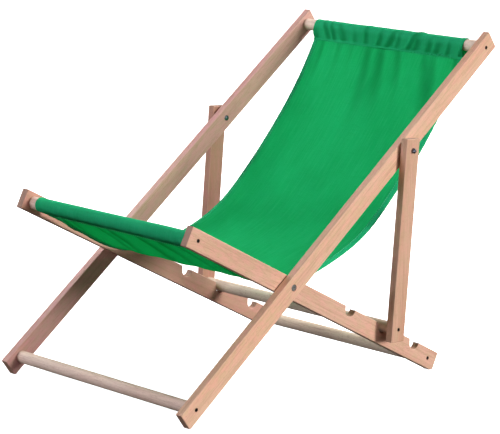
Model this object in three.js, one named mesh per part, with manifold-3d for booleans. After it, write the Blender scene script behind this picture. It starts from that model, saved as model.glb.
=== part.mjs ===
// Folding deck chair: two hinged wooden frames, a prop frame that drops into
// notches, and a canvas sling hung between two dowels.
// Millimetres, +Z up, the sitter faces -Y and the sitter's left is +X.
// The origin is on the floor, in the middle of the chair.
import * as THREE from 'three';
import { mergeVertices } from 'three/addons/utils/BufferGeometryUtils.js';
import Module from 'manifold-3d';

const wasm = await Module();
wasm.setup();

// Timber sections.
const RAIL_T = 17;
const RAIL_W = 41;
const LEG_W = 40;
const ARRIS = 1;
const DOWEL_R = 13;

// Inner face of each pair of side members, from the middle of the chair.
const SEAT_INNER = 234;
const BACK_INNER = 253;
const LEG_INNER = 275;

// Slopes of the two long frames in the chosen notch.
const BACK_SLOPE = THREE.MathUtils.degToRad(38.44);
const SEAT_SLOPE = THREE.MathUtils.degToRad(25.29);

// Distances along the back frame from the main pivot.
const BACK_DOWN = 370;
const BACK_UP = 758.5;
const FOOT_DOWEL_AT = -335;
const TOP_DOWEL_AT = 732;
const PROP_PIVOT_AT = 409.5;

// Distances along the seat frame from the main pivot, rearward.
const SEAT_FRONT = 308.5;
const SEAT_REAR = 536;
const FRONT_DOWEL_AT = -283;
const REAR_DOWEL_AT = 507;

// Height of the main pivot over the floor, and its place along the chair.
const PIVOT_Z = 244;
const PIVOT_Y = (-(BACK_UP - BACK_DOWN) / 2) * Math.cos(BACK_SLOPE);

// The prop dowel sits just under the seat rail's top edge.
const PROP_DOWEL_AT = 330;
const PROP_DOWEL_SINK = 2;
const LEG_ABOVE = 24.5;
const LEG_BELOW = 26.5;

// Notches open straight up, with play in front of and below the dowel.
const NOTCH_R = 15.5;
const NOTCH_PITCH = 118;
const NOTCH_PLAY_Y = 1.6;
const NOTCH_PLAY_Z = 0.4;

// Joinery.
const GAP = 0.3;
const SOCKET_DEPTH = 9;
const TENON_R = 8;
const PILOT_R = 2.4;
const PILOT_DEPTH = 24;
const SCREW_R = 2;
const SCREW_HEAD_R = 3.6;
const SCREW_HEAD_H = 2.6;
const SCREW_RECESS_R = 4.2;
const SCREW_RECESS = 3.4;
const SCREW_LENGTH = 30;

// Pivot hardware.
const BOLT_R = 3;
const BOLT_HOLE_R = 3.4;
const BOLT_HEAD_R = 6.5;
const BOLT_HEAD_H = 2.8;
const BOLT_RECESS_R = 7.2;
const BOLT_RECESS = 3.4;
const HEX_KEY_AF = 5;
const HEX_KEY_DEPTH = 2;
const WASHER_R = 9;
const NUT_WASHER_T = 1.4;
const NUT_AF = 10;
const NUT_T = 5;
const PAN_R = 6.2;
const PAN_H = 2.4;
const CAP_HEX_T = 4;
const CAP_DOME_R = 4.7;

// Canvas sling.
const SLING_W = 436;
const SLING_T = 2;
const SLEEVE_R = DOWEL_R + GAP + SLING_T;

// Middle of the sling's thickness, rearward and up from the main pivot.
const SLING_STATIONS = [
  [-230, 97],
  [-140, 53],
  [-60, 13],
  [26, -4],
  [128, 13],
  [262, 69],
  [368, 163],
  [455, 262],
  [510, 336],
  [551, 404],
];
const SLING_STEPS = 64;
const SLING_FRONT_EXIT = THREE.MathUtils.degToRad(-117);
const SLING_TOP_EXIT = THREE.MathUtils.degToRad(-115);

const ROUND = 36;
const SMALL_ROUND = 18;
const SIDES = { left: 1, right: -1 };

const MATERIALS = {
  rail: { color: 0xdeb496, roughness: 0.62, metalness: 0 },
  dowel: { color: 0xd9bd9e, roughness: 0.58, metalness: 0 },
  canvas: { color: 0x1ea55a, roughness: 0.85, metalness: 0 },
  zinc: { color: 0xc9c7c2, roughness: 0.35, metalness: 0.9 },
  steel: { color: 0x55585e, roughness: 0.3, metalness: 0.9 },
  screw: { color: 0x3a2c22, roughness: 0.5, metalness: 0.7 },
};

// Shapes are drawn rearward and up, then stood across the chair.
const ACROSS = new THREE.Matrix4().makeBasis(
  new THREE.Vector3(0, 1, 0),
  new THREE.Vector3(0, 0, 1),
  new THREE.Vector3(1, 0, 0),
);

function toManifold(geometry) {
  const bare = geometry.clone();
  bare.deleteAttribute('normal');
  bare.deleteAttribute('uv');
  const merged = mergeVertices(bare, 1e-4);
  return new wasm.Manifold(
    new wasm.Mesh({
      numProp: 3,
      vertProperties: new Float32Array(merged.attributes.position.array),
      triVerts: new Uint32Array(merged.index.array),
    }),
  );
}

function toGeometry(manifold) {
  const mesh = manifold.getMesh();
  const geometry = new THREE.BufferGeometry();
  geometry.setAttribute('position', new THREE.BufferAttribute(mesh.vertProperties, 3));
  geometry.setIndex(new THREE.BufferAttribute(mesh.triVerts, 1));
  geometry.computeVertexNormals();
  return geometry;
}

function carve(geometry, cutters) {
  const solid = cutters.reduce((left, cutter) => left.subtract(toManifold(cutter)), toManifold(geometry));
  return toGeometry(solid);
}

function fuse(geometries) {
  const [first, ...rest] = geometries.map(toManifold);
  return toGeometry(rest.reduce((sum, piece) => sum.add(piece), first));
}

function polygon(points) {
  return new THREE.Shape(points.map(([along, up]) => new THREE.Vector2(along, up)));
}

// A board centred on x = 0, with every arris eased by the bevel.
function board(shape, thickness, bevel) {
  const geometry = new THREE.ExtrudeGeometry(shape, {
    depth: thickness - 2 * bevel,
    bevelEnabled: bevel > 0,
    bevelThickness: bevel,
    bevelSize: bevel,
    bevelOffset: -bevel,
    bevelSegments: 1,
    curveSegments: SMALL_ROUND,
  });
  geometry.translate(0, 0, bevel - thickness / 2);
  return geometry.applyMatrix4(ACROSS);
}

// A turned solid on the X axis: profile points are [radius, x], axis to axis.
function turned(profile, segments) {
  const points = profile.map(([radius, x]) => new THREE.Vector2(radius, x));
  const geometry = new THREE.LatheGeometry(points, segments);
  return geometry.rotateZ(-Math.PI / 2);
}

// A drill running from one x to another, through [along, up].
function drill(radius, fromX, toX, [along, up]) {
  const low = Math.min(fromX, toX);
  const high = Math.max(fromX, toX);
  const profile = [[0, low], [radius, low], [radius, high], [0, high]];
  return turned(profile, ROUND).translate(0, along, up);
}

function hexagon(acrossFlats) {
  const corner = acrossFlats / Math.sqrt(3);
  const corners = [0, 1, 2, 3, 4, 5].map((n) => (n * Math.PI) / 3);
  return polygon(corners.map((angle) => [corner * Math.cos(angle), corner * Math.sin(angle)]));
}

function place(angle, along, up) {
  const cos = Math.cos(angle);
  const sin = Math.sin(angle);
  return [along * cos - up * sin, along * sin + up * cos];
}

// Where the prop dowel lies, in the seat frame and then from the main pivot.
const DOWEL_IN_SEAT = [PROP_DOWEL_AT, RAIL_W / 2 - PROP_DOWEL_SINK];
const DOWEL_FROM_PIVOT = place(-SEAT_SLOPE, ...DOWEL_IN_SEAT);
const PROP_FROM_PIVOT = place(BACK_SLOPE, PROP_PIVOT_AT, 0);
const PROP_RUN = PROP_FROM_PIVOT[0] - DOWEL_FROM_PIVOT[0];
const PROP_DROP = PROP_FROM_PIVOT[1] - DOWEL_FROM_PIVOT[1];
const PROP_REACH = Math.hypot(PROP_RUN, PROP_DROP);
const PROP_LEAN = Math.atan2(-PROP_RUN, PROP_DROP);

// Outline of a rail from its front to its rear end, around the pivot, with the
// lowest corner cut parallel to the floor.
function railOutline(slope, front, rear, footAtRear, upperEdge) {
  const half = RAIL_W / 2;
  const floor = -PIVOT_Z;
  const end = footAtRear ? rear : -front;
  const onLower = (floor + half * Math.cos(slope)) / Math.sin(slope);
  const onEnd = (floor - end * Math.sin(slope)) / Math.cos(slope);
  const foot = [[onLower, -half], [end, onEnd]];
  if (footAtRear) {
    return polygon([[-front, -half], ...foot, [rear, half], ...upperEdge, [-front, half]]);
  }
  return polygon([[-front, half], foot[1], foot[0], [rear, -half], [rear, half]]);
}

// One notch in the seat rail's upper edge, from its rear corner round to the
// front shoulder; both walls stand upright once the rail is sloped.
function notchEdge(along) {
  const half = RAIL_W / 2;
  const steps = 14;
  const [playAlong, playUp] = place(SEAT_SLOPE, -NOTCH_PLAY_Y, -NOTCH_PLAY_Z);
  const centre = [along + playAlong, DOWEL_IN_SEAT[1] + playUp];
  const arc = [];
  for (let step = 0; step <= steps; step += 1) {
    const turn = SEAT_SLOPE - (Math.PI * step) / steps;
    arc.push([centre[0] + NOTCH_R * Math.cos(turn), centre[1] + NOTCH_R * Math.sin(turn)]);
  }
  const inside = arc.filter(([, up]) => up < half - ARRIS);
  const [wallAlong, wallUp] = arc[steps];
  const rise = half - centre[1];
  const rearCorner = [centre[0] + Math.sqrt(NOTCH_R ** 2 - rise ** 2), half];
  const shoulder = [wallAlong - (half - wallUp) * Math.tan(SEAT_SLOPE), half];
  return [rearCorner, ...inside, shoulder];
}

// Holes that every screwed dowel joint needs, seen from the rail's middle.
function dowelJoint(side, at) {
  const inner = (-side * RAIL_T) / 2;
  const outer = -inner;
  return [
    drill(TENON_R + GAP, inner - side, inner + side * SOCKET_DEPTH, at),
    drill(PILOT_R, inner, outer + side, at),
    drill(SCREW_RECESS_R, outer - side * SCREW_RECESS, outer + side, at),
  ];
}

function boltHole(at) {
  return drill(BOLT_HOLE_R, -RAIL_T, RAIL_T, at);
}

function dowelGeometry(inner) {
  const shoulder = inner - GAP;
  const end = inner + SOCKET_DEPTH - GAP;
  const half = [
    [PILOT_R, end],
    [TENON_R, end],
    [TENON_R, shoulder],
    [DOWEL_R - ARRIS, shoulder],
    [DOWEL_R, shoulder - ARRIS],
  ];
  const mirrored = half.map(([radius, x]) => [radius, -x]).reverse();
  const bore = end - PILOT_DEPTH;
  return turned(
    [[0, -bore], [PILOT_R, -bore], ...mirrored.reverse(), ...half.reverse(), [PILOT_R, bore], [0, bore]],
    ROUND,
  );
}

function screwGeometry() {
  const body = turned(
    [
      [0, 0],
      [SCREW_HEAD_R, 0],
      [SCREW_HEAD_R, -0.4],
      [SCREW_R, -SCREW_HEAD_H],
      [SCREW_R, 3 - SCREW_LENGTH],
      [0, -SCREW_LENGTH],
    ].reverse(),
    SMALL_ROUND,
  );
  const blade = [2, 0.8, 4.4];
  const slots = [
    new THREE.BoxGeometry(blade[0], blade[1], blade[2]),
    new THREE.BoxGeometry(blade[0], blade[2], blade[1]),
  ];
  return carve(body, slots);
}

// Recessed flat head with a hexagon socket, head face at x = 0.
function pivotBoltGeometry(length) {
  const body = turned(
    [
      [0, -length],
      [BOLT_R, -length],
      [BOLT_R, -BOLT_HEAD_H],
      [BOLT_HEAD_R, -BOLT_HEAD_H],
      [BOLT_HEAD_R, -0.5],
      [BOLT_HEAD_R - 0.5, 0],
      [0, 0],
    ],
    ROUND,
  );
  return carve(body, [board(hexagon(HEX_KEY_AF), 2 * HEX_KEY_DEPTH, 0)]);
}

// Low round head on the inside, face at x = 0, shank outward.
function propBoltGeometry(length) {
  const dome = [0.25, 0.5, 0.75, 1].map((part) => {
    const angle = (part * Math.PI) / 2;
    return [PAN_R * Math.sin(angle), -PAN_H * Math.cos(angle)];
  });
  return turned([[0, -PAN_H], ...dome, [BOLT_R, 0], [BOLT_R, length], [0, length]], ROUND);
}

function capNutGeometry(bore) {
  const hex = board(hexagon(NUT_AF), CAP_HEX_T, 0).translate(CAP_HEX_T / 2, 0, 0);
  const dome = [1, 0.75, 0.5, 0.25].map((part) => {
    const angle = (part * Math.PI) / 2;
    return [CAP_DOME_R * Math.sin(angle), CAP_HEX_T + CAP_DOME_R * Math.cos(angle) * 0.8];
  });
  const top = turned([[0, 1], [CAP_DOME_R, 1], ...dome, [0, CAP_HEX_T + CAP_DOME_R * 0.8]], SMALL_ROUND);
  return carve(fuse([hex, top]), [drill(BOLT_HOLE_R, -1, bore, [0, 0])]);
}

function ringGeometry(inner, outer, thickness) {
  const half = thickness / 2;
  return turned(
    [[inner, -half], [outer, -half], [outer, half], [inner, half], [inner, -half]],
    ROUND,
  );
}

function nutGeometry() {
  return carve(board(hexagon(NUT_AF), NUT_T, 0), [drill(BOLT_HOLE_R, -NUT_T, NUT_T, [0, 0])]);
}

// Canvas: a thin strip along the stations with a sleeve round each dowel.
function slingGeometry() {
  const front = place(-SEAT_SLOPE, FRONT_DOWEL_AT, 0);
  const top = place(BACK_SLOPE, TOP_DOWEL_AT, 0);
  const middle = SLEEVE_R - SLING_T / 2;
  const leave = ([along, up], angle) => [along + middle * Math.cos(angle), up + middle * Math.sin(angle)];
  const stations = [leave(front, SLING_FRONT_EXIT), ...SLING_STATIONS, leave(top, SLING_TOP_EXIT)];
  const curve = new THREE.SplineCurve(stations.map(([along, up]) => new THREE.Vector2(along, up)));
  const upper = [];
  const lower = [];
  for (let step = 0; step <= SLING_STEPS; step += 1) {
    const at = curve.getPointAt(step / SLING_STEPS);
    const way = curve.getTangentAt(step / SLING_STEPS);
    const offset = new THREE.Vector2(-way.y, way.x).multiplyScalar(SLING_T / 2);
    upper.push([at.x + offset.x, at.y + offset.y]);
    lower.push([at.x - offset.x, at.y - offset.y]);
  }
  const strip = board(polygon([...lower, ...upper.reverse()]), SLING_W, 0);
  const sleeve = ringGeometry(SLEEVE_R - SLING_T, SLEEVE_R, SLING_W);
  return fuse([strip, sleeve.clone().translate(0, ...front), sleeve.clone().translate(0, ...top)]);
}

function mesh(name, geometry, material) {
  const node = new THREE.Mesh(geometry, new THREE.MeshStandardMaterial(MATERIALS[material]));
  node.name = name;
  return node;
}

function frameGroup(name, [along, up], tilt) {
  const group = new THREE.Group();
  group.name = name;
  group.position.set(0, PIVOT_Y + along, PIVOT_Z + up);
  group.rotation.x = tilt;
  return group;
}

const chair = new THREE.Group();
chair.name = 'folding_deck_chair';
const backFrame = frameGroup('back_frame_group', [0, 0], BACK_SLOPE);
const seatFrame = frameGroup('seat_frame_group', [0, 0], -SEAT_SLOPE);
const propFrame = frameGroup('prop_frame_group', PROP_FROM_PIVOT, PROP_LEAN);
const slingGroup = frameGroup('sling_group', [0, 0], 0);
chair.add(backFrame, seatFrame, propFrame, slingGroup);

function addAt(group, node, x, along, up) {
  node.position.set(x, along, up);
  group.add(node);
}

// A dowel with its two screws, driven through the side members.
function addDowel(group, name, inner, [along, up]) {
  addAt(group, mesh(`${name}_dowel`, dowelGeometry(inner), 'dowel'), 0, along, up);
  for (const [sideName, side] of Object.entries(SIDES)) {
    const screw = mesh(`${name}_screw_${sideName}`, screwGeometry(), 'screw');
    screw.rotation.z = side > 0 ? 0 : Math.PI;
    addAt(group, screw, side * (inner + RAIL_T - 0.6), along, up);
  }
}

const footAt = [FOOT_DOWEL_AT, 0];
const topAt = [TOP_DOWEL_AT, 0];
const propPivotAt = [PROP_PIVOT_AT, 0];
const frontAt = [FRONT_DOWEL_AT, 0];
const rearAt = [REAR_DOWEL_AT, 0];
const propDowelAt = [0, -PROP_REACH];

const notches = [1, 0, -1].flatMap((step) => notchEdge(PROP_DOWEL_AT + step * NOTCH_PITCH));
const backOutline = railOutline(BACK_SLOPE, BACK_DOWN, BACK_UP, false, []);
const seatOutline = railOutline(-SEAT_SLOPE, SEAT_FRONT, SEAT_REAR, true, notches);
const legOutline = polygon([
  [-LEG_W / 2, -PROP_REACH - LEG_BELOW],
  [LEG_W / 2, -PROP_REACH - LEG_BELOW],
  [LEG_W / 2, LEG_ABOVE],
  [-LEG_W / 2, LEG_ABOVE],
]);

for (const [sideName, side] of Object.entries(SIDES)) {
  const half = RAIL_T / 2;
  const outerFace = side * half;
  const recess = drill(BOLT_RECESS_R, outerFace - side * BOLT_RECESS, outerFace + side, [0, 0]);

  const backRail = carve(board(backOutline, RAIL_T, ARRIS), [
    ...dowelJoint(side, footAt),
    ...dowelJoint(side, topAt),
    boltHole([0, 0]),
    boltHole(propPivotAt),
    recess,
  ]);
  addAt(backFrame, mesh(`back_rail_${sideName}`, backRail, 'rail'), side * (BACK_INNER + half), 0, 0);

  const seatRail = carve(board(seatOutline, RAIL_T, ARRIS), [
    ...dowelJoint(side, frontAt),
    ...dowelJoint(side, rearAt),
    boltHole([0, 0]),
  ]);
  addAt(seatFrame, mesh(`seat_rail_${sideName}`, seatRail, 'rail'), side * (SEAT_INNER + half), 0, 0);

  const leg = carve(board(legOutline, RAIL_T, ARRIS), [
    ...dowelJoint(side, propDowelAt),
    boltHole([0, 0]),
  ]);
  addAt(propFrame, mesh(`prop_leg_${sideName}`, leg, 'rail'), side * (LEG_INNER + half), 0, 0);

  // Main pivot: bolt head outside, washers and nut inside the seat rail.
  const headFace = BACK_INNER + RAIL_T - (BOLT_RECESS - BOLT_HEAD_H - GAP);
  const nutWasherX = SEAT_INNER - GAP - NUT_WASHER_T / 2;
  const nutX = nutWasherX - NUT_WASHER_T / 2 - GAP - NUT_T / 2;
  const boltLength = headFace - nutX + NUT_T / 2 + 1;
  const pivotBolt = mesh(`pivot_bolt_${sideName}`, pivotBoltGeometry(boltLength), 'zinc');
  pivotBolt.rotation.z = side > 0 ? 0 : Math.PI;
  addAt(backFrame, pivotBolt, side * headFace, 0, 0);

  const betweenRails = BACK_INNER - SEAT_INNER - RAIL_T;
  const washer = ringGeometry(BOLT_HOLE_R, WASHER_R, betweenRails - 2 * GAP);
  addAt(backFrame, mesh(`pivot_washer_${sideName}`, washer, 'zinc'), side * (BACK_INNER - betweenRails / 2), 0, 0);
  const nutWasher = ringGeometry(BOLT_HOLE_R, WASHER_R, NUT_WASHER_T);
  addAt(backFrame, mesh(`pivot_nut_washer_${sideName}`, nutWasher, 'zinc'), side * nutWasherX, 0, 0);
  addAt(backFrame, mesh(`pivot_nut_${sideName}`, nutGeometry(), 'zinc'), side * nutX, 0, 0);

  // Prop pivot: round head inside, spacer ring, cap nut outside the leg.
  const capX = LEG_INNER + RAIL_T + GAP;
  const shank = capX + CAP_HEX_T - BACK_INNER;
  const propBolt = mesh(`prop_bolt_${sideName}`, propBoltGeometry(shank), 'zinc');
  propBolt.rotation.z = side > 0 ? 0 : Math.PI;
  addAt(backFrame, propBolt, side * (BACK_INNER - GAP), PROP_PIVOT_AT, 0);

  const betweenLegs = LEG_INNER - BACK_INNER - RAIL_T;
  const spacer = ringGeometry(BOLT_HOLE_R, WASHER_R, betweenLegs - 2 * GAP);
  const spacerX = side * (LEG_INNER - betweenLegs / 2);
  addAt(backFrame, mesh(`prop_spacer_${sideName}`, spacer, 'zinc'), spacerX, PROP_PIVOT_AT, 0);
  const capNut = mesh(`prop_cap_nut_${sideName}`, capNutGeometry(CAP_HEX_T + 1), 'steel');
  capNut.rotation.z = side > 0 ? 0 : Math.PI;
  addAt(backFrame, capNut, side * capX, PROP_PIVOT_AT, 0);
}

addDowel(backFrame, 'foot', BACK_INNER, footAt);
addDowel(backFrame, 'top', BACK_INNER, topAt);
addDowel(seatFrame, 'front', SEAT_INNER, frontAt);
addDowel(seatFrame, 'rear', SEAT_INNER, rearAt);
addDowel(propFrame, 'prop', LEG_INNER, propDowelAt);

slingGroup.add(mesh('canvas_sling', slingGeometry(), 'canvas'));

export default chair;
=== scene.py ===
"""Folding deck chair: timber, metal and canvas finishes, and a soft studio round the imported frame."""

import math
import random

import bpy
import numpy as np
from mathutils import Matrix, Vector


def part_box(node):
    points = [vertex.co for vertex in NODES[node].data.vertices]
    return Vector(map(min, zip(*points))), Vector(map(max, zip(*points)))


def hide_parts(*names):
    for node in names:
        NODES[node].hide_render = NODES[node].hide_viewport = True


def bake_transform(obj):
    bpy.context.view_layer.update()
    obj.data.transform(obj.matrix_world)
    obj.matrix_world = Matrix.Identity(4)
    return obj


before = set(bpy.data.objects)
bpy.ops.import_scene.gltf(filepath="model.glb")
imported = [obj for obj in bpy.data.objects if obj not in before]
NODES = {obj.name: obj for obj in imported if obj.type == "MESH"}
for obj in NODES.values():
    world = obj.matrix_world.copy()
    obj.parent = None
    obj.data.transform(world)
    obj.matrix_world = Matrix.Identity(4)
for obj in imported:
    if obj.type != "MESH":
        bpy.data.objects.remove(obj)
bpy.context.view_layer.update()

SIDES = ("left", "right")

# Slopes of the timber in the chosen notch, from the floor.
BACK_SLOPE = math.radians(38.44)
SEAT_SLOPE = math.radians(-25.29)
LEG_SLOPE = math.radians(92.2)


# ---------------------------------------------------------------- node helpers

def new_material(name):
    """An empty node material with one Principled shader on its output."""
    material = bpy.data.materials.new(name)
    material.use_nodes = True
    tree = material.node_tree
    tree.nodes.clear()
    output = tree.nodes.new("ShaderNodeOutputMaterial")
    shader = tree.nodes.new("ShaderNodeBsdfPrincipled")
    tree.links.new(shader.outputs["BSDF"], output.inputs["Surface"])
    return material, tree, shader


def node(tree, kind, inputs=None, **props):
    """A node with its properties set and its inputs given as values or as sockets."""
    made = tree.nodes.new("ShaderNode" + kind)
    for key, value in props.items():
        setattr(made, key, value)
    for key, value in (inputs or {}).items():
        if isinstance(value, bpy.types.NodeSocket):
            tree.links.new(value, made.inputs[key])
        else:
            made.inputs[key].default_value = value
    return made


def shade(tree, factor, low, high):
    """A grey ramp: 0 below low, 1 above high."""
    made = node(tree, "MapRange", {"Value": factor, "From Min": low, "From Max": high})
    made.interpolation_type = "SMOOTHSTEP"
    return made.outputs["Result"]


def span(tree, factor, low, high):
    """factor from 0 to 1 stretched to run from low to high."""
    return node(tree, "MapRange", {"Value": factor, "To Min": low, "To Max": high}).outputs["Result"]


def mixed(tree, factor, a, b):
    """Two colours mixed by factor."""
    made = node(tree, "Mix", data_type="RGBA")
    for key, value in ((0, factor), (6, a), (7, b)):
        if isinstance(value, bpy.types.NodeSocket):
            tree.links.new(value, made.inputs[key])
        else:
            made.inputs[key].default_value = value if key == 0 else (*value, 1.0)
    return made.outputs[2]


def maths(tree, how, a, b=0.0):
    """One arithmetic step on values or sockets."""
    return node(tree, "Math", {0: a, 1: b}, operation=how).outputs[0]


def noise(tree, vector, scale, detail=3.0, rough=0.5, distort=0.0):
    """Noise on a stretched copy of the coordinates."""
    stretched = node(tree, "VectorMath", {0: vector, 1: scale}, operation="MULTIPLY").outputs[0]
    inputs = {"Vector": stretched, "Scale": 1.0, "Detail": detail}
    inputs.update({"Roughness": rough, "Distortion": distort})
    return node(tree, "TexNoise", inputs).outputs["Fac"]


def bump(tree, shader, height, strength, distance, under=None):
    """Relief of that height in metres on a shader."""
    inputs = {"Height": height, "Strength": strength, "Distance": distance}
    if under is not None:
        inputs["Normal"] = under
    made = node(tree, "Bump", inputs)
    tree.links.new(made.outputs["Normal"], shader.inputs["Normal"])
    return made.outputs["Normal"]


# ---------------------------------------------------------------- timber

PINK_BEECH = (0.745, 0.402, 0.302)
TAN_BEECH = (0.665, 0.418, 0.272)
PALE_BEECH = (0.800, 0.560, 0.430)
PALE_DOWEL = (0.920, 0.775, 0.630)
GRAIN_BROWN = (0.420, 0.235, 0.150)
FLECK_BROWN = (0.330, 0.165, 0.095)
END_GRAIN = (0.400, 0.255, 0.175)
BOARD_STREAK = 0.40
DOWEL_STREAK = 0.16
DOWEL_PALE = 0.65


def timber(name, slope, offset, pale=0.0, across=False, tone=(1.0, 1.0, 1.0)):
    """Oiled beech with its grain along the member.

    The member slopes up from +Y by slope, or lies along X when across is set.
    tone multiplies the two main wood colours, and pale is the least share of the light one.
    """
    material, tree, shader = new_material(name)
    place = node(tree, "TexCoord")
    turn = (0.0, 0.0, math.pi / 2) if across else (-slope, 0.0, 0.0)
    laid = {"Vector": place.outputs["Object"], "Rotation": turn, "Location": offset}
    along = node(tree, "Mapping", laid).outputs["Vector"]
    turned_normal = {"Vector": place.outputs["Normal"], "Rotation": turn}
    facing = node(tree, "Mapping", turned_normal, vector_type="VECTOR")
    parts = node(tree, "SeparateXYZ", {"Vector": facing.outputs["Vector"]})

    broad = noise(tree, along, (16.0, 3.0, 16.0), 2.0)
    blotch = noise(tree, along, (95.0, 38.0, 95.0), 3.0, 0.6)
    streak = noise(tree, along, (250.0, 6.0, 250.0), 4.0, 0.6, 0.2)
    pores = noise(tree, along, (1500.0, 120.0, 1500.0), 1.0, 0.5)
    figure = noise(tree, along, (60.0, 4.5, 60.0), 2.0, 0.5, 1.2)
    rings = maths(tree, "PINGPONG", maths(tree, "MULTIPLY", figure, 9.0), 1.0)

    pink = tuple(c * t for c, t in zip(PINK_BEECH, tone))
    tan = tuple(c * t for c, t in zip(TAN_BEECH, tone))
    tint = mixed(tree, shade(tree, blotch, 0.36, 0.64), pink, tan)
    light = PALE_DOWEL if across else PALE_BEECH
    paler = span(tree, shade(tree, broad, 0.3, 0.7), pale, min(pale + 0.35, 1.0))
    tint = mixed(tree, paler, tint, light)
    tint = mixed(tree, span(tree, shade(tree, rings, 0.55, 1.0), 0.0, 0.22), tint, GRAIN_BROWN)
    most_streak = DOWEL_STREAK if across else BOARD_STREAK
    tint = mixed(tree, span(tree, shade(tree, streak, 0.48, 0.70), 0.0, most_streak), tint, GRAIN_BROWN)
    tint = mixed(tree, span(tree, shade(tree, pores, 0.62, 0.72), 0.0, 0.45), tint, FLECK_BROWN)

    end = shade(tree, maths(tree, "ABSOLUTE", parts.outputs["Y"]), 0.75, 0.95)
    cut = noise(tree, along, (260.0, 260.0, 900.0), 3.0)
    end_tint = mixed(tree, shade(tree, cut, 0.35, 0.7), END_GRAIN, GRAIN_BROWN)
    tint = mixed(tree, end, tint, end_tint)

    sideways = maths(tree, "ABSOLUTE", parts.outputs["X"])
    upward = maths(tree, "ABSOLUTE", parts.outputs["Z"])
    arris = maths(tree, "MULTIPLY", shade(tree, sideways, 0.35, 0.6), shade(tree, upward, 0.35, 0.6))
    rubbed = maths(tree, "MULTIPLY", arris, span(tree, blotch, 0.1, 0.75))
    tint = mixed(tree, maths(tree, "MULTIPLY", rubbed, 0.0 if across else 0.6), tint, PALE_BEECH)
    tree.links.new(tint, shader.inputs["Base Color"])

    rough = maths(tree, "ADD", span(tree, streak, 0.44, 0.62), span(tree, blotch, -0.05, 0.06))
    tree.links.new(rough, shader.inputs["Roughness"])
    shader.inputs["Specular IOR Level"].default_value = 0.42
    raised = maths(tree, "MULTIPLY", streak, 0.7)
    sunk = maths(tree, "MULTIPLY", pores, -0.6)
    relief = maths(tree, "ADD", raised, sunk)
    under = bump(tree, shader, relief, 0.5, 0.0004)
    bump(tree, shader, blotch, 0.25, 0.0006, under)
    return material


# ---------------------------------------------------------------- metal

def plated(name, colour, rough, metallic, wear):
    """Plated or blackened hardware with fine scratches, dulled in patches."""
    material, tree, shader = new_material(name)
    place = node(tree, "TexCoord").outputs["Object"]
    patch = noise(tree, place, (420.0, 420.0, 420.0), 4.0, 0.6)
    scratch = noise(tree, place, (260.0, 5200.0, 3600.0), 2.0, 0.5, 0.6)
    dull = tuple(c * wear for c in colour)
    tint = mixed(tree, shade(tree, patch, 0.35, 0.7), colour, dull)
    tint = mixed(tree, span(tree, shade(tree, scratch, 0.55, 0.7), 0.0, 0.35), tint, dull)
    tree.links.new(tint, shader.inputs["Base Color"])
    tree.links.new(span(tree, patch, rough * 0.75, rough * 1.35), shader.inputs["Roughness"])
    shader.inputs["Metallic"].default_value = metallic
    bump(tree, shader, scratch, 0.3, 0.00012)
    return material


# ---------------------------------------------------------------- canvas cloth

FABRIC_LIT = (0.0330, 0.5750, 0.2600)
# A deeper green for the cloth's uneven colour and weave, also used as painted shade on doubled hems and
# sleeves.
FABRIC_DEEP = (0.0020, 0.3700, 0.1050)
FABRIC_PALE = (0.0650, 0.6600, 0.3200)
# Painted shade laid into the folds' hollows.
FABRIC_FOLD_SHADE = (0.0010, 0.2300, 0.0560)
THREAD_TINT = (0.1000, 0.6800, 0.3400)
GLOW_SHARE = 0.60
YARN_PITCH = 0.0011


def canvas_material(name):
    """Close plain-weave canvas; doubled hems and sleeves let less light through and also carry painted
    shade, as do the folds' hollows.
    """
    material, tree, shader = new_material(name)
    flat = node(tree, "UVMap", uv_map="cloth").outputs["UV"]
    layers_and_shade = node(tree, "Attribute", attribute_name="layers_and_shade").outputs["Fac"]
    parts = node(tree, "SeparateXYZ", {"Vector": flat})
    turns = 2 * math.pi / YARN_PITCH
    warp = maths(tree, "SINE", maths(tree, "MULTIPLY", parts.outputs["X"], turns))
    weft = maths(tree, "SINE", maths(tree, "MULTIPLY", parts.outputs["Y"], turns))
    weave = maths(tree, "MULTIPLY", warp, weft)
    slub_long = noise(tree, flat, (330.0, 14.0, 1.0), 3.0, 0.6)
    slub_wide = noise(tree, flat, (30.0, 480.0, 1.0), 3.0, 0.6)
    handled = noise(tree, flat, (9.0, 6.0, 1.0), 3.0, 0.5)

    tint = mixed(tree, span(tree, shade(tree, handled, 0.3, 0.7), 0.0, 0.22), FABRIC_LIT, FABRIC_DEEP)
    tint = mixed(tree, span(tree, shade(tree, slub_long, 0.4, 0.72), 0.0, 0.40), tint, FABRIC_PALE)
    tint = mixed(tree, span(tree, shade(tree, slub_wide, 0.45, 0.75), 0.0, 0.15), tint, FABRIC_DEEP)
    tint = mixed(tree, span(tree, shade(tree, weave, -0.2, -0.9), 0.0, 0.3), tint, FABRIC_DEEP)
    # Painted shade: doubled hems and sleeves are darkened towards the deep green.
    tint = mixed(tree, maths(tree, "MULTIPLY", layers_and_shade, 0.40), tint, FABRIC_DEEP)
    # Painted shade in the folds' hollows and in a band below the top dowel.
    crease_shade = node(tree, "Attribute", attribute_name="crease_shade").outputs["Fac"]
    tint = mixed(tree, maths(tree, "MULTIPLY", crease_shade, 0.62), tint, FABRIC_FOLD_SHADE)
    tree.links.new(tint, shader.inputs["Base Color"])
    tree.links.new(span(tree, slub_long, 0.72, 0.92), shader.inputs["Roughness"])
    shader.inputs["Specular IOR Level"].default_value = 0.03
    relief = maths(tree, "ADD", maths(tree, "MULTIPLY", weave, 0.35), slub_long)
    relief = maths(tree, "ADD", relief, slub_wide)
    bump(tree, shader, relief, 0.55, 0.00035)
    glow = node(tree, "BsdfTranslucent", {"Color": tint})
    share = maths(tree, "MULTIPLY", maths(tree, "SUBTRACT", 1.0, layers_and_shade), GLOW_SHARE)
    both = node(tree, "MixShader", {0: share, 1: shader.outputs["BSDF"], 2: glow.outputs["BSDF"]})
    output = next(n for n in tree.nodes if n.type == "OUTPUT_MATERIAL")
    tree.links.new(both.outputs["Shader"], output.inputs["Surface"])
    return material


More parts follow.
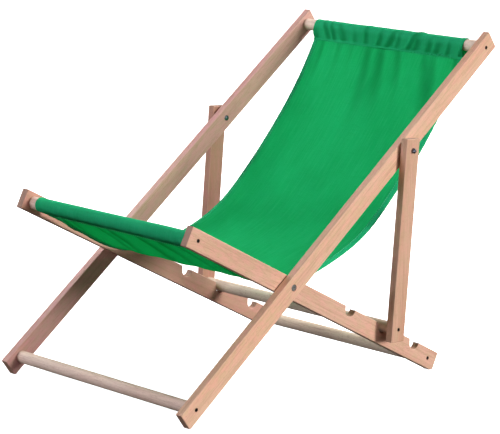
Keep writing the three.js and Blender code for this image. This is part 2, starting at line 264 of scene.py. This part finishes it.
def thread_material(name):
    """Twisted sewing thread, a shade lighter than the cloth."""
    material, tree, shader = new_material(name)
    place = node(tree, "TexCoord").outputs["Object"]
    twist = noise(tree, place, (1800.0, 1800.0, 1800.0), 2.0)
    tree.links.new(mixed(tree, twist, THREAD_TINT, FABRIC_PALE), shader.inputs["Base Color"])
    tree.links.new(span(tree, twist, 0.5, 0.75), shader.inputs["Roughness"])
    bump(tree, shader, twist, 0.4, 0.0002)
    return material


# ---------------------------------------------------------------- canvas shape

PIVOT = np.array([-0.15215, 0.244])
STATIONS = PIVOT + np.array(
    [
        (-0.230, 0.097),
        (-0.140, 0.053),
        (-0.060, 0.013),
        (0.026, -0.004),
        (0.128, 0.013),
        (0.262, 0.069),
        (0.368, 0.163),
        (0.455, 0.262),
        (0.510, 0.336),
        (0.551, 0.404),
    ]
)
HALF_WIDTH = 0.218
CLOTH_T = 0.0010
HEM_W = 0.0125
HEM_T = 0.0024
CREASE_SHADE_DEPTH = 0.0036
SLEEVE_SHADE_RUN = 0.036
WRAP_R = 0.0139
CLEAR_R = 0.01362
FRONT_SEAM_AT = 0.0352
TOP_SEAM_AT = 0.0280
FLAP_END = 0.006
LOOP_STEP = 0.0030
MAIN_STEP = 0.0062
COLUMN_STEP = 0.0062


def middle(name):
    """The middle of a node's box, as (y, z)."""
    low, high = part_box(name)
    centre = (low + high) / 2
    return np.array([centre.y, centre.z])


FRONT_DOWEL = middle("front_dowel")
TOP_DOWEL = middle("top_dowel")


def unit(v):
    return v / np.linalg.norm(v)


def turned(angle):
    return np.array([math.cos(angle), math.sin(angle)])


def resampled(points, step):
    """The same line with points evenly spaced, about step apart."""
    along = np.concatenate([[0], np.cumsum(np.linalg.norm(np.diff(points, axis=0), axis=1))])
    count = max(2, round(along[-1] / step) + 1)
    at = np.linspace(0, along[-1], count)
    return np.stack([np.interp(at, along, points[:, k]) for k in range(2)], axis=1)


def eased(points, passes):
    """The line smoothed, with its two ends held."""
    points = points.copy()
    for _ in range(passes):
        points[1:-1] = 0.25 * points[:-2] + 0.5 * points[1:-1] + 0.25 * points[2:]
    return points


def through(stations):
    """A smooth line through the stations."""
    ends = [2 * stations[0] - stations[1], *stations, 2 * stations[-1] - stations[-2]]
    line = []
    for a, b, c, d in zip(ends, ends[1:], ends[2:], ends[3:]):
        for t in np.linspace(0, 1, 40, endpoint=False):
            square = (2 * a - 5 * b + 4 * c - d) * t**2
            cube = (3 * b - a - 3 * c + d) * t**3
            line.append(0.5 * (2 * b + (c - a) * t + square + cube))
    line.append(stations[-1])
    return np.array(line)


def sleeve(centre, seam, flap_side, onward):
    """The line from the flap's free edge, round the dowel and back to the seam.

    flap_side is +1 where the flap lies anticlockwise of the way to the seam.
    """
    away = unit(seam - centre)
    heading = math.atan2(away[1], away[0])
    reach = np.linalg.norm(seam - centre)
    spread = math.acos(WRAP_R / reach)
    lift = turned(heading + flap_side * math.pi / 2) * (CLOTH_T * 1.05)
    start = heading + flap_side * spread
    sweep = flap_side * (2 * math.pi - 2 * spread)
    arc = [centre + WRAP_R * turned(start + sweep * k / 40) for k in range(41)]
    flap = [seam + lift + onward * FLAP_END, seam + lift]
    return eased(resampled(np.array([*flap, *arc, seam]), LOOP_STEP), 1)


def canvas_profile():
    """The whole line, with the places of the two seams along it."""
    front_seam = FRONT_DOWEL + unit(STATIONS[0] - FRONT_DOWEL) * FRONT_SEAM_AT
    top_seam = TOP_DOWEL + unit(STATIONS[-1] - TOP_DOWEL) * TOP_SEAM_AT
    line = through(np.array([front_seam, *STATIONS[1:], top_seam]))
    main = eased(resampled(line, MAIN_STEP), 14)
    front = sleeve(FRONT_DOWEL, front_seam, -1, unit(main[1] - main[0]))
    top = sleeve(TOP_DOWEL, top_seam, -1, unit(main[-2] - main[-1]))[::-1]
    whole = np.concatenate([front, main[1:-1], top])
    return whole, len(front) - 1, len(front) + len(main) - 2


def columns():
    """Places across the cloth, closer together at the hems."""
    edge = HALF_WIDTH
    inner = edge - HEM_W - 0.0015
    count = round(2 * inner / COLUMN_STEP)
    body = np.linspace(-inner, inner, count + 1)
    hem = edge - np.array([0.0, 0.0010, 0.0045, 0.0085, HEM_W])
    return np.concatenate([-hem, body, hem[::-1]])


def normals_of(grid):
    """Unit normals of a grid of points, columns by rows."""
    across = np.gradient(grid, axis=0)
    along = np.gradient(grid, axis=1)
    n = np.cross(across, along)
    return n / np.maximum(np.linalg.norm(n, axis=2, keepdims=True), 1e-12)


def smooth_noise(shape, cells, seed):
    """Smooth seeded noise between -1 and 1 on a grid."""
    rng = np.random.default_rng(seed)
    coarse = rng.uniform(-1, 1, (cells[0] + 3, cells[1] + 3))
    u = np.linspace(0, cells[0], shape[0])
    v = np.linspace(0, cells[1], shape[1])

    def weights(t):
        i = np.minimum(t.astype(int), int(t[-1]) - 1 if t[-1] >= 1 else 0)
        f = t - i
        third = -3 * f**3 + 3 * f**2 + 3 * f + 1
        return i, np.stack([(1 - f) ** 3, 3 * f**3 - 6 * f**2 + 4, third, f**3]) / 6

    iu, wu = weights(u)
    iv, wv = weights(v)
    out = np.zeros(shape)
    for a in range(4):
        for b in range(4):
            out += wu[a][:, None] * wv[b][None, :] * coarse[np.ix_(iu + a, iv + b)]
    return out


def quads(a, b, c, d):
    """Four-cornered faces from four arrays of corner numbers."""
    return np.stack([a.ravel(), b.ravel(), c.ravel(), d.ravel()], axis=-1)


def grid_mesh(name, grid):
    """A mesh of one face, from a grid of points."""
    nu, nv = grid.shape[:2]
    index = np.arange(nu * nv).reshape(nu, nv)
    faces = quads(index[:-1, :-1], index[1:, :-1], index[1:, 1:], index[:-1, 1:])
    mesh = bpy.data.meshes.new(name)
    mesh.from_pydata(grid.reshape(-1, 3).tolist(), [], faces.tolist())
    mesh.update()
    return mesh


FRONT_OFFSET = 0.006
FRONT_OFFSET_RUN = 0.45
SIM_FRAMES = 36
GATHER = 0.020
GATHER_RUN = 0.16


def simulated(grid, rest, pinned):
    """The grid after cloth simulation: rest gives the cut's own size, pinned rows stay."""
    obj = bpy.data.objects.new("canvas_study", grid_mesh("canvas_study", grid))
    bpy.context.scene.collection.objects.link(obj)
    obj.shape_key_add(name="Basis")
    cut = obj.shape_key_add(name="cut")
    cut.data.foreach_set("co", rest.astype(np.float32).ravel())
    cut.value = 0.0
    pin = obj.vertex_groups.new(name="pin")
    pin.add(np.flatnonzero(pinned.ravel()).tolist(), 1.0, "REPLACE")
    cloth = obj.modifiers.new("cloth", "CLOTH")
    s = cloth.settings
    s.quality = 7
    s.mass = 0.12
    s.air_damping = 3.0
    s.tension_stiffness = s.compression_stiffness = 40
    s.shear_stiffness = 12
    s.bending_stiffness = 1.2
    s.tension_damping = s.compression_damping = 12
    s.vertex_group_mass = "pin"
    s.rest_shape_key = cut
    s.effector_weights.gravity = 0.5
    cloth.collision_settings.use_collision = False
    cloth.point_cache.frame_start = 1
    cloth.point_cache.frame_end = SIM_FRAMES
    scene = bpy.context.scene
    for step in range(1, SIM_FRAMES + 1):
        scene.frame_set(step)
    shown = obj.evaluated_get(bpy.context.evaluated_depsgraph_get()).to_mesh()
    out = np.zeros(grid.size, np.float32)
    shown.vertices.foreach_get("co", out)
    bpy.data.objects.remove(obj)
    scene.frame_set(1)
    return out.reshape(grid.shape).astype(float)


def shape_canvas():
    """Grid points of the cloth's middle surface, with its flat coordinates and seam rows."""
    line, front_row, top_row = canvas_profile()
    xs = columns()
    run = np.concatenate([[0], np.cumsum(np.linalg.norm(np.diff(line, axis=0), axis=1))])
    grid = np.zeros((len(xs), len(line), 3))
    ahead = np.clip(1 - (run - run[front_row]) / FRONT_OFFSET_RUN, 0, 1)
    grid[:, :, 0] = xs[:, None] + FRONT_OFFSET * (ahead**2 * (3 - 2 * ahead))[None, :]
    grid[:, :, 1:] = line[None, :, :]
    rows = np.arange(len(line))
    from_seam = np.minimum(
        np.where(rows >= front_row, run - run[front_row], 0),
        np.where(rows <= top_row, run[top_row] - run, 0),
    )
    away = normals_of(grid)
    stir = smooth_noise(grid.shape[:2], (22, 12), 5) * 0.0011
    stir *= np.exp(-from_seam / 0.18)[None, :] + 0.25
    inside = np.clip(from_seam / 0.02, 0, 1)[None, :]
    seam_wave = smooth_noise((len(xs), 2), (11, 1), 8)[:, :1] * 0.0012
    uneven = stir * inside + seam_wave * np.exp(-from_seam / 0.05)[None, :]
    start = grid + away * uneven[:, :, None]
    rest = grid.copy()
    widen = 1 + GATHER * np.exp(-from_seam / GATHER_RUN)
    rest[:, :, 0] = rest[:, :, 0] + xs[:, None] * (widen - 1)[None, :]
    main = (rows > front_row) & (rows < top_row)
    pinned = np.broadcast_to(~main[None, :], grid.shape[:2])
    # The side line is set by STATIONS, so only the wrinkles are kept.
    moved = simulated(start, rest, pinned) - grid
    mean = moved.mean(axis=0, keepdims=True)
    start = grid + moved - mean
    return start, xs, run, front_row, top_row, from_seam


def doubled(grid):
    """Twice as many columns, by smooth interpolation across."""
    padded = np.concatenate([2 * grid[:1] - grid[1:2], grid, 2 * grid[-1:] - grid[-2:-1]])
    between = (-padded[:-3] + 9 * padded[1:-2] + 9 * padded[2:-1] - padded[3:]) / 16
    out = np.zeros((2 * len(grid) - 1, *grid.shape[1:]))
    out[0::2] = grid
    out[1::2] = between
    return out


def drawn_folds(xs, ahead, count, deep, wide, reach, lean, seed):
    """Soft lengthwise folds that run out of a seam and die away.

    ahead is the way from the seam; lean is the sideways drift at the right and left edges.
    """
    rng = np.random.default_rng(seed)
    out = np.zeros((len(xs), len(ahead)))
    far = np.maximum(ahead, 0.0)
    grown = (0.35 + 0.65 * np.clip(far / 0.02, 0, 1)) * (ahead > 0)
    for k in range(count):
        x0 = -HALF_WIDTH + (k + rng.uniform(0.2, 0.8)) * 2 * HALF_WIDTH / count
        drift = np.interp(x0, (-HALF_WIDTH, HALF_WIDTH), lean) + rng.uniform(-0.08, 0.08)
        length = reach * rng.uniform(0.55, 1.15)
        broad = wide * rng.uniform(0.8, 1.5) * (1 + far / length * 0.6)
        depth = deep * rng.uniform(0.45, 1.0)
        share = np.exp(-(((xs[:, None] - x0 - drift * far[None, :]) / broad[None, :]) ** 2))
        out -= share * (grown * np.exp(-((far / length) ** 2)))[None, :] * depth
    return out - out.mean(axis=0, keepdims=True)


PUCKER_SEED = 11
TOP_PUCKERS = {"count": 15, "size": 0.0050, "fanned": True}
FRONT_PUCKERS = {"count": 11, "size": 0.0024, "fanned": False}
TOP_FOLDS = {"count": 9, "deep": 0.0052, "wide": 0.011, "reach": 0.15, "lean": (0.05, 0.45), "seed": 23}
FRONT_FOLDS = {"count": 8, "deep": 0.0046, "wide": 0.009, "reach": 0.28, "lean": (-0.50, -0.05), "seed": 31}
SLEEVE_SHADE = 0.42
NIP_PITCH = 0.0105
NIP_HIGH = 0.00055
HEM_WAVE_PITCH = 0.017
HEM_WAVE_HIGH = 0.00028
HEM_ROLL = 0.0032


def seam_puckers(xs, to_flap, zone, count, size, fanned):
    """Short creases drawn into a sleeve by its seam, slanting along the dowel.

    fanned turns the slant over from one edge of the cloth to the other.
    """
    out = np.zeros((len(xs), len(to_flap)))
    for k in range(count):
        x0 = -HALF_WIDTH + (k + random.uniform(0.15, 0.85)) * 2 * HALF_WIDTH / count
        lean = max(-0.9, min(0.55, (x0 + 0.09) * 6.0)) if fanned else 0.5
        slant = lean * random.uniform(0.5, 1.3)
        wide = random.uniform(0.004, 0.008)
        deep = size * random.uniform(0.5, 1.15)
        reach = random.uniform(0.014, 0.026)
        centre = x0 + slant * to_flap
        share = np.exp(-(((xs[:, None] - centre[None, :]) / wide) ** 2))
        fade = np.clip((to_flap - 0.004) / 0.006, 0, 1) * np.exp(-((to_flap / (2.0 * reach)) ** 4))
        out -= share * (fade * zone)[None, :] * deep
    return out


def stitch_nips(xs, to_flap, from_seam, in_sleeve):
    """Small nips of the stitch line on both sides of each seam."""
    uneven = 0.6 + 0.4 * np.sin(xs * 173.0 + 1.0)
    nip = np.sin(2 * math.pi * xs / NIP_PITCH + 1.7 * np.sin(xs * 61.0)) * uneven
    near_flap = np.exp(-(((to_flap - 0.004) / 0.006) ** 2)) * in_sleeve
    near_main = np.exp(-((from_seam / 0.009) ** 2)) * ~in_sleeve
    return nip[:, None] * (near_flap + near_main)[None, :] * NIP_HIGH


def hem_roll(run, from_edge, in_sleeve):
    """Hems roll back a little and their stitching draws small waves."""
    hem = np.clip(1 - from_edge / (HEM_W * 1.5), 0, 1)[:, None]
    wave = np.sin(2 * math.pi * run / HEM_WAVE_PITCH + 2.0 * np.sin(run * 23.0))[None, :]
    rolled = wave * HEM_WAVE_HIGH * np.clip(hem * 2, 0, 1) - HEM_ROLL * hem**2
    return (~in_sleeve)[None, :] * rolled


def painted_crease_shade(fold, to_flap, in_top):
    """Painted shade for the folds' hollows, with a painted band of shade below the top dowel."""
    crease_shade = np.clip(-fold / CREASE_SHADE_DEPTH, 0, 1)
    band = np.clip((SLEEVE_SHADE_RUN - to_flap) / 0.012, 0, 1) * np.clip(to_flap / 0.003, 0, 1)
    return np.clip(crease_shade + (band * in_top)[None, :] * SLEEVE_SHADE, 0, 1)


def layer_and_shade_share(hemmed, to_flap, past_front, in_front, in_sleeve):
    """How far the cloth counts as doubled, from 0 to 1, which also sets its painted shade; graded along the
    sleeves and lessened near the front hem as painted light.
    """
    front_lap = np.clip(to_flap / 0.045, 0.3, 0.8)
    top_lap = np.clip(1.15 - to_flap / 0.11, 0.35, 1)
    lap = np.where(in_front, front_lap, top_lap) * in_sleeve
    # Painted light: the hem's doubling, and with it the hem's painted shade, is lessened towards the front.
    front_hem_lightening = np.clip(0.35 + past_front / 0.55, 0.35, 1)[None, :]
    return np.maximum(hemmed * (~in_sleeve)[None, :] * front_hem_lightening, lap[None, :])


def clear_of_dowel(grid, centre, zone):
    """Push a sleeve's points out where a fold would cut into its dowel."""
    away = grid[:, zone, 1:] - centre
    reach = np.linalg.norm(away, axis=2, keepdims=True)
    grid[:, zone, 1:] = centre + away * np.maximum(1.0, CLEAR_R / reach)


def two_faced_mesh(name, grid, out, thick):
    """A closed skin of the cloth's thickness round its middle surface."""
    upper = grid + out * thick[:, :, None] / 2
    lower = grid - out * thick[:, :, None] / 2
    nu, nv = grid.shape[:2]
    index = np.arange(nu * nv).reshape(nu, nv)
    under = index + nu * nv
    faces = np.concatenate(
        [
            quads(index[:-1, :-1], index[1:, :-1], index[1:, 1:], index[:-1, 1:]),
            quads(under[:-1, :-1], under[:-1, 1:], under[1:, 1:], under[1:, :-1]),
            quads(index[0, :-1], index[0, 1:], under[0, 1:], under[0, :-1]),
            quads(index[-1, :-1], under[-1, :-1], under[-1, 1:], index[-1, 1:]),
            quads(index[:-1, 0], under[:-1, 0], under[1:, 0], index[1:, 0]),
            quads(index[:-1, -1], index[1:, -1], under[1:, -1], under[:-1, -1]),
        ]
    )
    mesh = bpy.data.meshes.new(name)
    points = np.concatenate([upper.reshape(-1, 3), lower.reshape(-1, 3)])
    mesh.from_pydata(points.tolist(), [], faces.tolist())
    return mesh


def lay_flat(mesh, xs, run):
    """The cloth's flat coordinates in metres, as a UV map."""
    flat = np.stack(np.broadcast_arrays(xs[:, None], run[None, :]), axis=-1).reshape(-1, 2)
    flat = np.concatenate([flat, flat])
    loops = np.zeros(len(mesh.loops), np.int32)
    mesh.loops.foreach_get("vertex_index", loops)
    uv = mesh.uv_layers.new(name="cloth")
    uv.data.foreach_set("uv", flat[loops].astype(np.float32).ravel())


def mark(mesh, key, values):
    """One value for each point of the grid, on both faces of the cloth."""
    both = np.concatenate([values.ravel(), values.ravel()])
    made = mesh.attributes.new(key, "FLOAT", "POINT")
    made.data.foreach_set("value", both.astype(np.float32))


def make_canvas():
    """The sewn cloth, and the grid that its stitching follows."""
    grid, xs, run, front_row, top_row, from_seam = shape_canvas()
    grid = doubled(grid)
    xs = doubled(xs)
    out = normals_of(grid)
    rows = np.arange(len(run))
    in_front = rows < front_row
    in_top = rows > top_row
    in_sleeve = in_front | in_top
    from_edge = HALF_WIDTH - np.abs(xs)
    past_front = run - run[front_row]
    to_seam = np.where(in_front, run[front_row] - run, np.where(in_top, run - run[top_row], 0.0))
    flap_length = np.where(in_front, run[front_row], run[-1] - run[top_row])
    to_flap = np.where(in_sleeve, flap_length - to_seam, 1.0)

    random.seed(PUCKER_SEED)
    fold = seam_puckers(xs, to_flap, in_top, **TOP_PUCKERS)
    fold += seam_puckers(xs, to_flap, in_front, **FRONT_PUCKERS)
    fold += drawn_folds(xs, run[top_row] - run, **TOP_FOLDS)
    fold += drawn_folds(xs, past_front, **FRONT_FOLDS)
    # Painted shade for the folds' hollows, kept as a colour attribute.
    crease_shade = painted_crease_shade(fold, to_flap, in_top)
    fold += stitch_nips(xs, to_flap, from_seam, in_sleeve)
    fold += hem_roll(run, from_edge, in_sleeve)
    grid = grid + out * fold[:, :, None]
    clear_of_dowel(grid, FRONT_DOWEL, in_front)
    clear_of_dowel(grid, TOP_DOWEL, in_top)

    out = normals_of(grid)
    hemmed = np.clip((HEM_W - from_edge) / 0.001 + 0.5, 0, 1)[:, None]
    thick = CLOTH_T + (HEM_T - CLOTH_T) * hemmed * np.ones((1, len(run)))
    thick *= np.clip(0.35 + from_edge[:, None] / 0.0012, 0.35, 1)
    mesh = two_faced_mesh("canvas_cloth", grid, out, thick)
    lay_flat(mesh, xs, run)
    # The doubled share dims the light let through and also paints shade; the crease share paints shade into
    # the folds.
    mark(mesh, "layers_and_shade", layer_and_shade_share(hemmed, to_flap, past_front, in_front, in_sleeve))
    mark(mesh, "crease_shade", crease_shade)
    mesh.shade_smooth()
    mesh.update()
    canvas = bpy.data.objects.new("canvas_cloth", mesh)
    bpy.context.scene.collection.objects.link(canvas)
    return canvas, (grid, out, thick, xs, run, front_row, top_row)


THREAD_R = 0.00052
STITCH_LONG = 0.0042
STITCH_PITCH = 0.0056


def stitch_points(lines):
    """Short rounded threads laid along lines of (points, normals)."""
    points, faces = [], []
    profile = ((0.0, 0.25), (0.18, 0.85), (0.5, 1.0), (0.82, 0.85), (1.0, 0.25))
    for line, up in lines:
        along = np.concatenate([[0], np.cumsum(np.linalg.norm(np.diff(line, axis=0), axis=1))])
        for k in range(int(along[-1] / STITCH_PITCH)):
            at = (k + 0.12) * STITCH_PITCH
            a = np.array([np.interp(at, along, line[:, i]) for i in range(3)])
            b = np.array([np.interp(at + STITCH_LONG, along, line[:, i]) for i in range(3)])
            rise = unit(np.array([np.interp(at, along, up[:, i]) for i in range(3)]))
            side = unit(np.cross(b - a, rise))
            base = len(points)
            for place, size in profile:
                high = THREAD_R * (0.1 + 0.8 * math.sin(math.pi * place))
                centre = a + (b - a) * place + rise * high
                for turn in range(6):
                    angle = turn * math.pi / 3
                    spoke = side * math.cos(angle) + rise * math.sin(angle)
                    points.append(centre + THREAD_R * size * spoke)
            for ring in range(4):
                for turn in range(6):
                    p = base + ring * 6 + turn
                    q = base + ring * 6 + (turn + 1) % 6
                    faces.append((p, q, q + 6, p + 6))
            faces.append(tuple(base + t for t in reversed(range(6))))
            faces.append(tuple(base + 24 + t for t in range(6)))
    return points, faces


def make_stitching(facts):
    """Hem and sleeve stitching, as it shows on both faces."""
    grid, out, thick, xs, run, front_row, top_row = facts
    lines = []
    for x in (-(HALF_WIDTH - HEM_W + 0.002), HALF_WIDTH - HEM_W + 0.002):
        i = int(np.argmin(np.abs(xs - x)))
        rows = slice(front_row + 2, top_row - 1)
        for face in (1, -1):
            surface = grid[i, rows] + face * out[i, rows] * thick[i, rows, None] / 2
            lines.append((surface, face * out[i, rows]))
    flap_rows = (1, len(run) - 2)
    for row in flap_rows:
        outward = 1 if row == flap_rows[1] else -1
        surface = grid[:, row] + out[:, row] * thick[:, row, None] / 2
        lines.append((surface[2:-2], out[2:-2, row]))
        other = front_row + 1 if row == 1 else top_row - 1
        surface = grid[:, other] - outward * out[:, other] * thick[:, other, None] / 2
        lines.append((surface[2:-2], -outward * out[2:-2, other]))
    points, faces = stitch_points(lines)
    mesh = bpy.data.meshes.new("canvas_stitching")
    mesh.from_pydata([tuple(p) for p in points], [], faces)
    mesh.shade_smooth()
    mesh.update()
    thread = bpy.data.objects.new("canvas_stitching", mesh)
    bpy.context.scene.collection.objects.link(thread)
    return thread


# ---------------------------------------------------------------- dressing the frame

def dress(names, material):
    """Give the frame's nodes a material in place of their own."""
    for name in names:
        mesh = NODES[name].data
        mesh.materials.clear()
        mesh.materials.append(material)


# The right-hand boards are tinted darker, for the shade on the side away from the key light.
LEG_TONE = {"left": (0.78, 0.74, 0.67), "right": (0.66, 0.56, 0.56)}
SEAT_TONE = {"left": (0.96, 0.97, 0.98), "right": (0.76, 0.66, 0.70)}
BACK_TONE = {"left": (1.04, 1.07, 1.02), "right": (0.84, 0.77, 0.98)}


# Each board: its node, its slope, its place in the grain and its tint on the two sides.
BOARDS = {
    "back_rail": ("back", BACK_SLOPE, (0.2, 0.1), BACK_TONE),
    "seat_rail": ("seat", SEAT_SLOPE, (0.9, 0.6), SEAT_TONE),
    "prop_leg": ("leg", LEG_SLOPE, (1.7, 1.2), LEG_TONE),
}
GRAIN_SHIFT = {"left": 0.37, "right": 1.9}


def dress_frame():
    """Timber, plated and blackened finishes on all of the frame's nodes."""
    for side in SIDES:
        for board, (short, slope, place, tone) in BOARDS.items():
            offset = (GRAIN_SHIFT[side], *place)
            material = timber(f"beech_{short}_{side}", slope, offset, tone=tone[side])
            dress([f"{board}_{side}"], material)
    for number, name in enumerate(("foot", "top", "front", "rear", "prop")):
        offset = (0.3 * number, 0.7 * number, 0.4)
        material = timber(f"beech_{name}_dowel", 0.0, offset, DOWEL_PALE, True)
        dress([f"{name}_dowel"], material)
    zinc = plated("zinc_plate", (0.72, 0.72, 0.70), 0.30, 0.9, 0.55)
    steel = plated("blackened_steel", (0.16, 0.18, 0.22), 0.28, 0.9, 0.6)
    screw = plated("browned_screw", (0.030, 0.022, 0.018), 0.45, 0.6, 0.5)
    for name in NODES:
        if "_screw_" in name:
            dress([name], screw)
        elif name.startswith(("prop_bolt", "prop_cap_nut", "prop_spacer")):
            dress([name], steel)
        elif name.startswith("pivot_"):
            dress([name], zinc)


# ---------------------------------------------------------------- studio

CAMERA_AT = (3.22288, -3.37078, 1.18448)
CAMERA_AZIMUTH = math.radians(43.766)
CAMERA_ELEVATION = math.radians(10.383)
CAMERA_ROLL = math.radians(2.437)
CAMERA_LENS = 160.906


def make_camera():
    """A long lens from the sitter's front left, rolled a little."""
    data = bpy.data.cameras.new("photo_camera")
    data.sensor_width = 36.0
    data.lens = CAMERA_LENS
    data.clip_start = 0.05
    data.clip_end = 100.0
    az, el, roll = CAMERA_AZIMUTH, CAMERA_ELEVATION, CAMERA_ROLL
    forward = Vector((-math.sin(az) * math.cos(el), math.cos(az) * math.cos(el), -math.sin(el)))
    level = Vector((math.cos(az), math.sin(az), 0.0))
    upright = level.cross(forward)
    right = math.cos(roll) * level + math.sin(roll) * upright
    up = -math.sin(roll) * level + math.cos(roll) * upright
    camera = bpy.data.objects.new("photo_camera", data)
    turn = Matrix((right, up, -forward)).transposed().to_4x4()
    camera.matrix_world = Matrix.Translation(CAMERA_AT) @ turn
    bpy.context.scene.collection.objects.link(camera)
    bpy.context.scene.camera = camera


LIGHTS = {
    "key": ((10.9, 1.95, 2.43), 2.8, 1085.0, (1.0, 0.97, 0.94)),
    "key_high": ((7.0, 0.3, 5.4), 3.9, 100.0, (1.0, 0.97, 0.94)),
    "side_low": ((8.6, -4.4, 0.5), 1.6, 96.0, (1.0, 0.86, 0.84)),
    "front_fill": ((-4.2, -6.5, 4.4), 5.7, 300.0, (0.92, 0.85, 1.0)),
    "front_low": ((-2.3, -8.6, 0.5), 1.6, 150.0, (0.97, 0.93, 0.98)),
    "back_high": ((-0.8, 6.2, 6.7), 3.6, 650.0, (1.0, 0.99, 0.97)),
    "far_edge": ((-1.35, -0.35, 1.35), 0.5, 9.0, (1.0, 0.99, 0.97)),
}
SKY = 0.10
GROUND = 0.03
FLOOR_GLOW = 0.93
AIM = Vector((0.0, 0.0, 0.35))
FLOOR_R = 45.0


def make_lights():
    """Round area lamps, all aimed at the middle of the chair."""
    for name, (place, size, power, colour) in LIGHTS.items():
        data = bpy.data.lights.new(name, "AREA")
        data.shape = "DISK"
        data.size = size
        data.energy = power
        data.color = colour
        lamp = bpy.data.objects.new(name, data)
        lamp.location = place
        lamp.visible_camera = False
        lamp.rotation_mode = "QUATERNION"
        lamp.rotation_quaternion = (AIM - Vector(place)).to_track_quat("-Z", "Y")
        bpy.context.scene.collection.objects.link(lamp)


def make_world():
    """A dim sky, a little brighter above than below."""
    world = bpy.data.worlds.new("studio")
    bpy.context.scene.world = world
    world.use_nodes = True
    tree = world.node_tree
    back = tree.nodes["Background"]
    way = tree.nodes.new("ShaderNodeTexCoord")
    split = tree.nodes.new("ShaderNodeSeparateXYZ")
    tree.links.new(way.outputs["Generated"], split.inputs[0])
    dimmer = tree.nodes.new("ShaderNodeMapRange")
    dimmer.inputs["From Min"].default_value = -0.15
    dimmer.inputs["From Max"].default_value = 0.35
    dimmer.inputs["To Min"].default_value = GROUND
    dimmer.inputs["To Max"].default_value = SKY
    tree.links.new(split.outputs["Z"], dimmer.inputs["Value"])
    tree.links.new(dimmer.outputs["Result"], back.inputs["Strength"])
    back.inputs["Color"].default_value = (1.0, 0.99, 0.98, 1.0)


def make_floor():
    """A wide pale floor that glows evenly, hidden from the chair's diffuse and glossy light."""
    bpy.ops.mesh.primitive_circle_add(vertices=96, radius=FLOOR_R, fill_type="NGON")
    floor = bpy.context.object
    floor.name = "studio_floor"
    material, tree, shader = new_material("studio_paper")
    place = node(tree, "TexCoord").outputs["Object"]
    grain = noise(tree, place, (3.0, 3.0, 3.0), 3.0)
    paper = mixed(tree, grain, (0.93, 0.93, 0.93), (0.95, 0.95, 0.95))
    tree.links.new(paper, shader.inputs["Base Color"])
    shader.inputs["Roughness"].default_value = 0.95
    shader.inputs["Specular IOR Level"].default_value = 0.0
    shader.inputs["Emission Color"].default_value = (1.0, 1.0, 1.0, 1.0)
    shader.inputs["Emission Strength"].default_value = FLOOR_GLOW
    floor.data.materials.append(material)
    floor.visible_diffuse = False
    floor.visible_glossy = False


make_camera()
make_world()
make_lights()
make_floor()
bpy.context.scene.view_settings.view_transform = "Standard"

dress_frame()
canvas, facts = make_canvas()
canvas.data.materials.append(canvas_material("green_canvas"))
stitching = make_stitching(facts)
stitching.data.materials.append(thread_material("sewing_thread"))

for piece in (canvas, stitching):
    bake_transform(piece)
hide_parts("canvas_sling")
